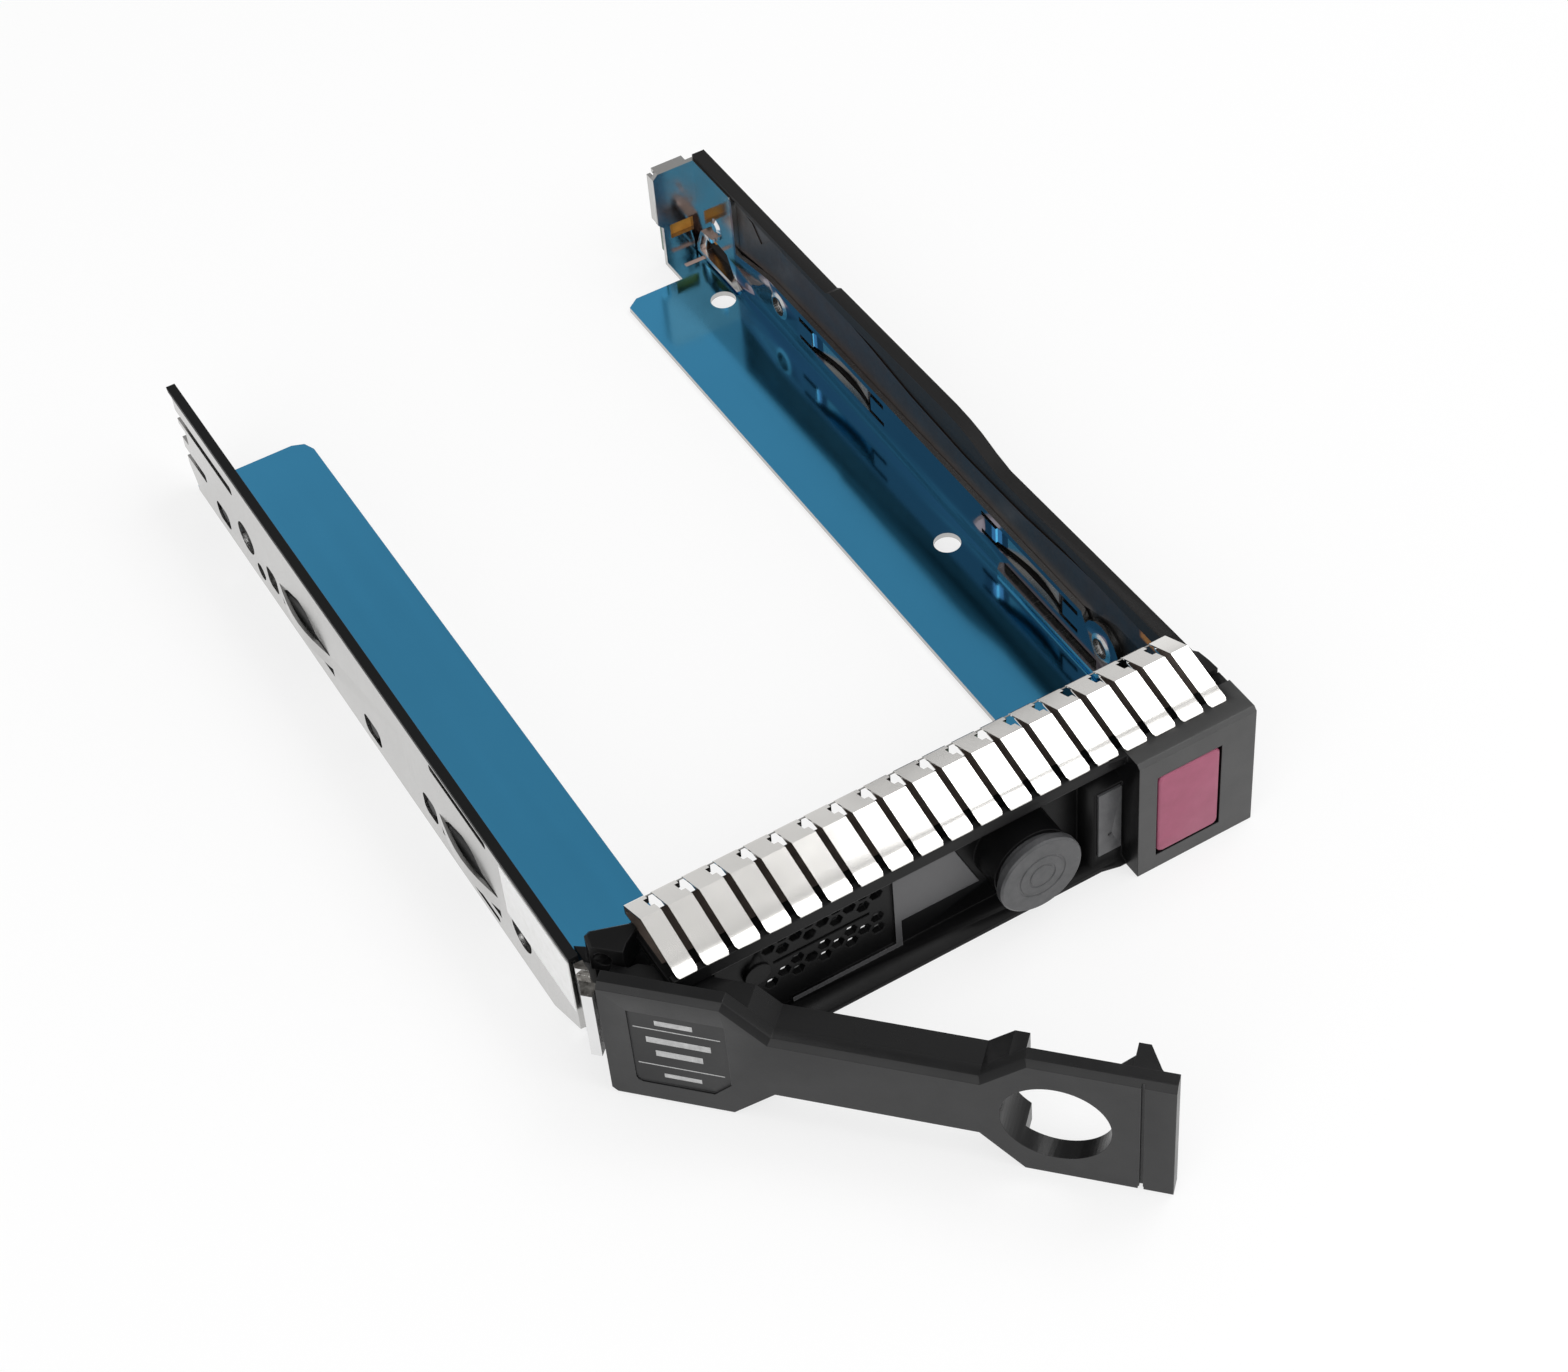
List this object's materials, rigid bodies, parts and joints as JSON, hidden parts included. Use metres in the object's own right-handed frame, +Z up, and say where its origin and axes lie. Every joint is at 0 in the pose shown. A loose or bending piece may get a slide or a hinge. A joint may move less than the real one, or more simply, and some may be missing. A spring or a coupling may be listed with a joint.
{
  "type": "hot swap drive caddy",
  "caption": "Hot swap caddy for a 3.5 inch drive, with folded steel rails, sprung front bezel, swing handle and push button latch.",
  "frame": {"origin": "X middle of the caddy's width (within 0.2 mm), Y front face of the latch block, which is also the front of the closed handle, Z underside of the rails", "axes": "+X to the right seen from the front, +Y towards the rear, the way the caddy slides into its cage, +Z up"},
  "size_m": [0.1089, 0.2199, 0.0283],
  "materials": {
    "film_steel": "zinc plated sheet steel with a smooth blue tint, bright cut edges",
    "black_plastic": "fine grain moulded",
    "bezel_plastic": "fine grain moulded",
    "handle_plastic": "fine grain moulded",
    "label_paper": "plain white sticker",
    "amber_film": "polyimide film",
    "board_green": "solder mask",
    "gold_plate": "gold plated",
    "bright_steel": "polished steel",
    "spring_steel": "bright stainless strip",
    "grey_lens": "translucent grey",
    "led_white": "clear resin",
    "magenta_plastic": "moulded"
  },
  "bodies": {
    "caddy": {"left_rail": "film_steel", "right_rail": "film_steel", "left_rail_liner": "black_plastic", "rail_label": "label_paper", "right_rail_cover": "black_plastic", "flex_circuit": "amber_film", "contact_board": "board_green", "contact_pads": "gold_plate", "cover_rivets": "bright_steel", "front_bezel": "bezel_plastic", "emi_spring": "spring_steel", "handle_pin": "bright_steel", "handle_spring": "spring_steel", "ring_lens": "grey_lens", "status_window": "grey_lens", "led_board": "board_green", "board_leds": "led_white", "rail_screws": "bright_steel", "button_spring": "spring_steel", "catch_spring": "spring_steel"},
    "handle_body": {"handle": "handle_plastic", "handle_claw": "bright_steel", "claw_rivets": "bright_steel"},
    "button": {"release_button": "magenta_plastic"},
    "catch": {"latch_catch": "black_plastic"}
  },
  "joints": [
    {"name": "handle_hinge", "type": "hinge", "parent": "caddy", "child": "handle_body", "pos_m": [-0.04107, 0.0085, 0.012], "axis": [0, 0, 1], "range_deg": [0, 45.85], "stiffness_Nm_per_rad": 0.03, "springref_deg": -5.73, "deforming": ["handle_spring"]},
    {"name": "button_push", "type": "slide", "parent": "caddy", "child": "button", "axis": [0, 1, 0], "range_m": [0, 0.0016], "stiffness_N_per_m": 400, "deforming": ["button_spring"]},
    {"name": "catch_slide", "type": "slide", "parent": "caddy", "child": "catch", "axis": [1, 0, 0], "range_m": [0, 0.0016], "deforming": ["catch_spring"]}
  ],
  "couplings": [
    {"joint": "catch_slide", "follows": "button_push", "ratio": 1}
  ]
}
